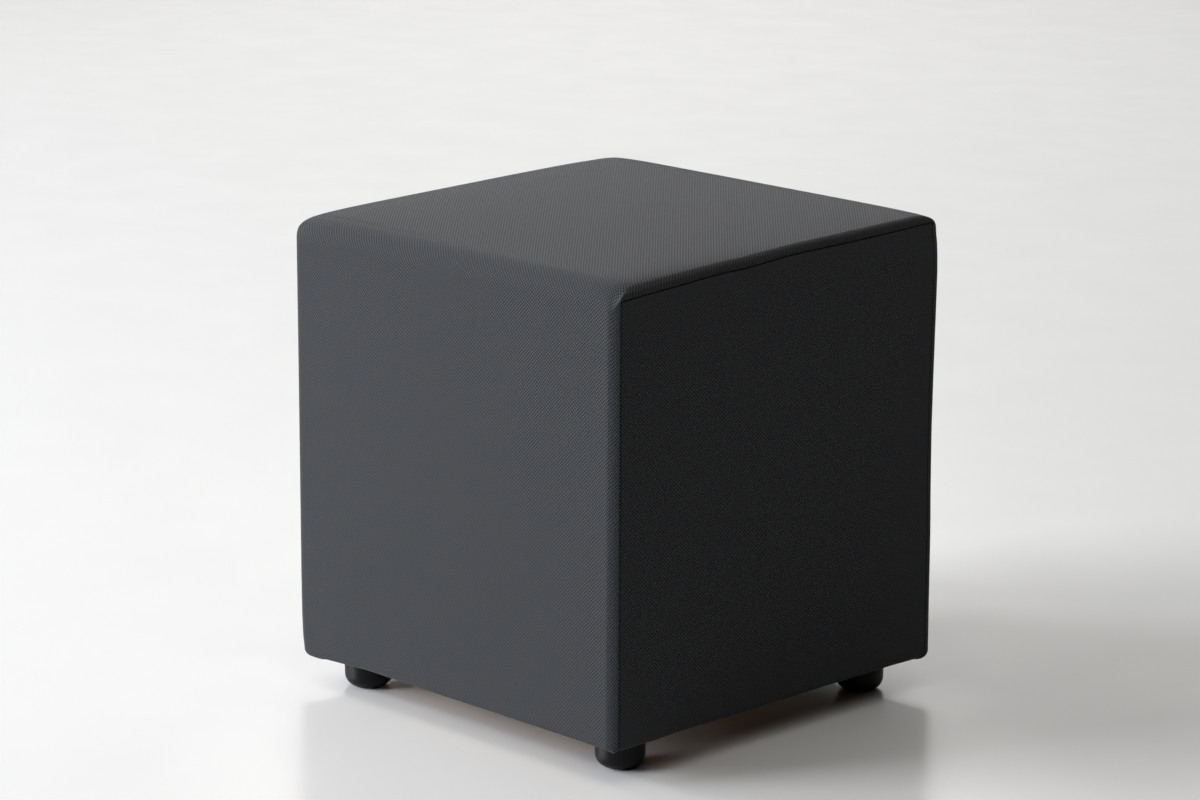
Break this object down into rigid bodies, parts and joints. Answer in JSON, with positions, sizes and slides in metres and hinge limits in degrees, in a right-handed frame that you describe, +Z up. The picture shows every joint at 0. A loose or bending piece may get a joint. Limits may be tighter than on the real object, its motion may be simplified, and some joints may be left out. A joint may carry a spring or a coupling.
{
  "type": "cube pouf stool",
  "caption": "Upholstered cube pouf in grey woven cloth, with a one-piece wrap over front, seat and back, sewn-in side panels, a base board and round moulded feet.",
  "frame": {"origin": "on the floor under the middle of the stool", "axes": "+Z up; the wrap falls down the -Y and +Y faces, and the sewn side panels are the +X and -X faces"},
  "size_m": [0.42, 0.42, 0.456],
  "materials": {
    "cloth": "matt charcoal-grey upholstery cloth in a fine diagonal weave",
    "base_board": "bare brown wood-fibre board",
    "foot_plastic": "black moulded plastic with a satin surface"
  },
  "bodies": {
    "root": {"body": "cloth", "side_panel_right": "cloth", "side_panel_left": "cloth", "base_board": "base_board", "foot_front": "foot_plastic", "foot_right": "foot_plastic", "foot_back": "foot_plastic", "foot_left": "foot_plastic"}
  },
  "joints": []
}
